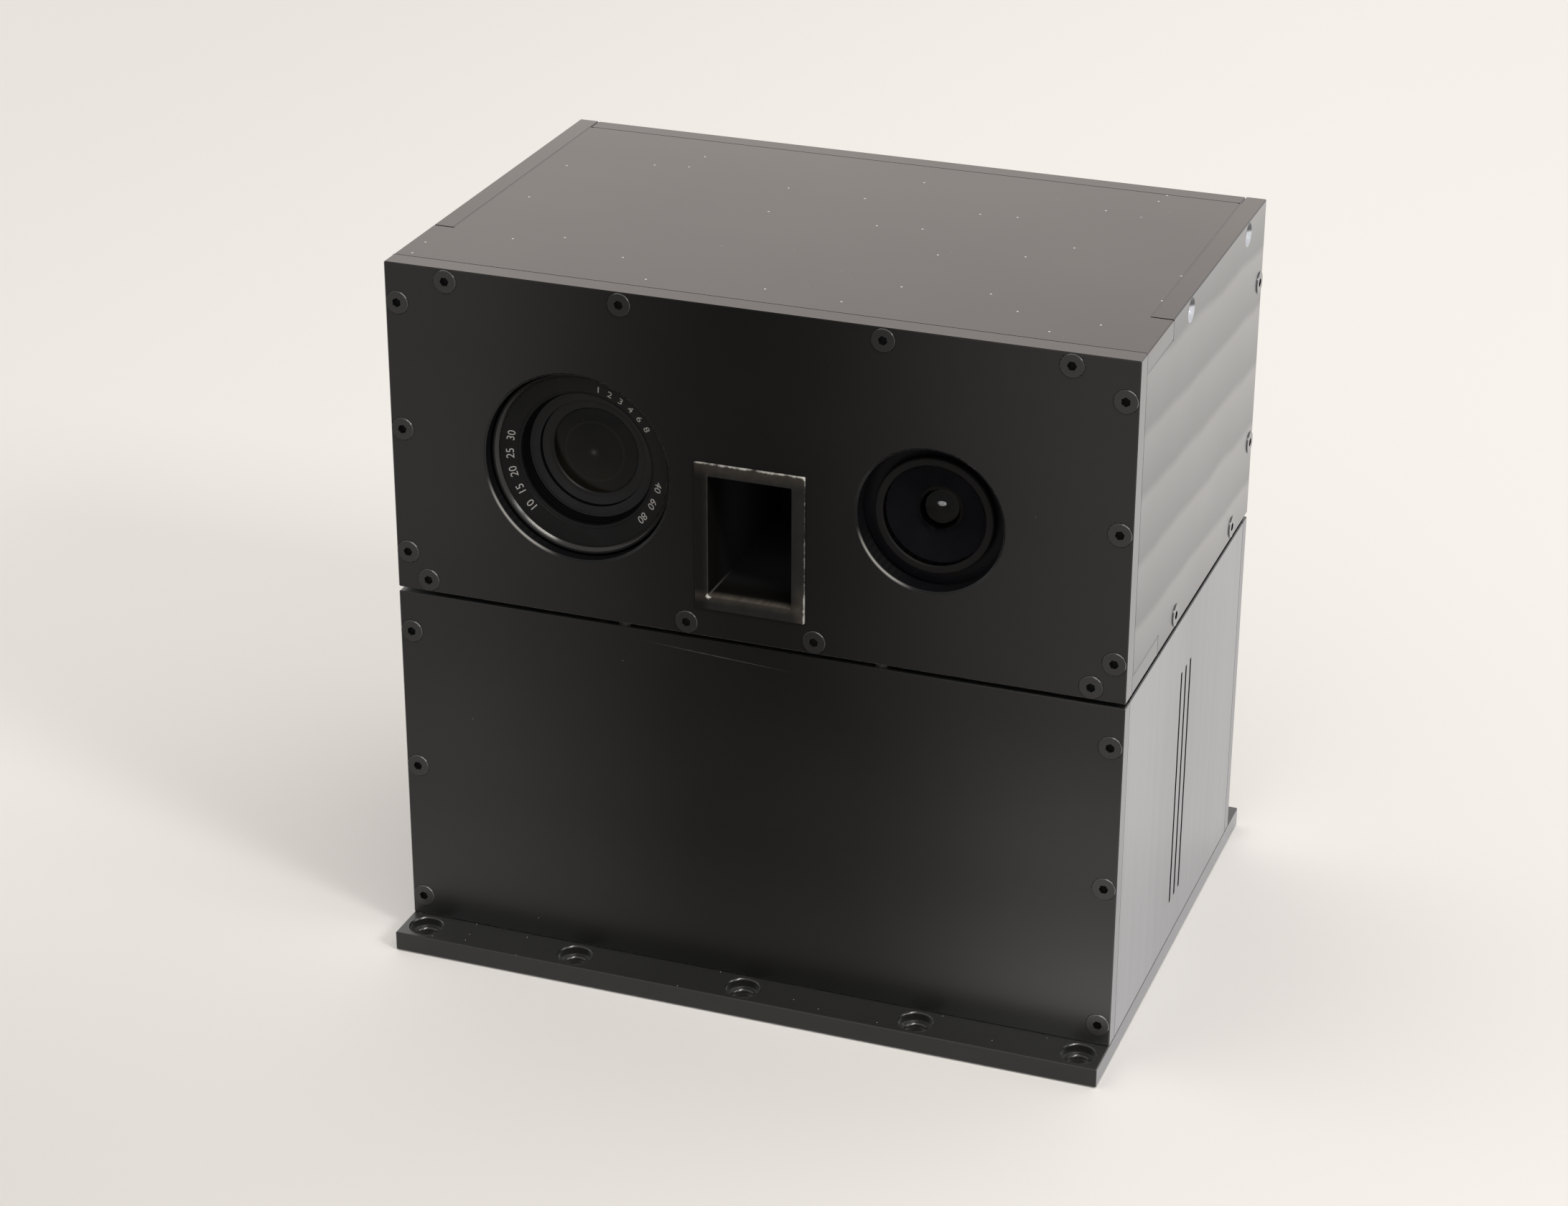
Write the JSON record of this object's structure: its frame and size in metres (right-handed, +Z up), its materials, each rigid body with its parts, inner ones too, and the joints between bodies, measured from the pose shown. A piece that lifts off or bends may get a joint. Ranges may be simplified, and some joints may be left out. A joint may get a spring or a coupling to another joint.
{
  "type": "satellite camera unit",
  "caption": "Camera and electronics unit of a small satellite: stacked boxes of bolted black plates with a zoom lens, a wide lens and an aperture tube, on a flanged base plate.",
  "frame": {"origin": "middle of the base plate's underside", "axes": "+X to the right along the front, +Y from the front to the back, +Z up"},
  "size_m": [0.226, 0.1712, 0.2224],
  "materials": {
    "black_anodised": "black anodised plate, fine satin",
    "worn_black": "black paint worn to bare metal along the edges",
    "lens_black": "satin black anodised lens barrel",
    "ring_grey": "dark grey satin ring",
    "glass": "dark coated lens glass",
    "steel": "darkened steel",
    "housing": "plain anodised housing"
  },
  "bodies": {
    "root": {"base_plate": "black_anodised", "lower_front_cover": "black_anodised", "lower_back_cover": "black_anodised", "lower_left_side": "black_anodised", "lower_right_side": "black_anodised", "lower_deck": "black_anodised", "electronics_unit": "housing", "spacer_pads": "steel", "upper_floor_plate": "black_anodised", "upper_top_plate": "black_anodised", "upper_left_side": "black_anodised", "upper_right_side": "black_anodised", "upper_back_plate": "black_anodised", "upper_front_cover": "black_anodised", "aperture_tube": "worn_black", "tube_camera": "housing", "tube_support": "housing", "zoom_barrel": "lens_black", "zoom_name_ring": "lens_black", "zoom_cell": "lens_black", "zoom_glass": "glass", "zoom_bracket": "black_anodised", "zoom_camera": "housing", "wide_barrel": "lens_black", "wide_ring": "ring_grey", "wide_glass": "glass", "wide_baffle": "lens_black", "wide_element": "glass", "wide_bracket": "black_anodised", "wide_camera": "housing"}
  },
  "joints": []
}
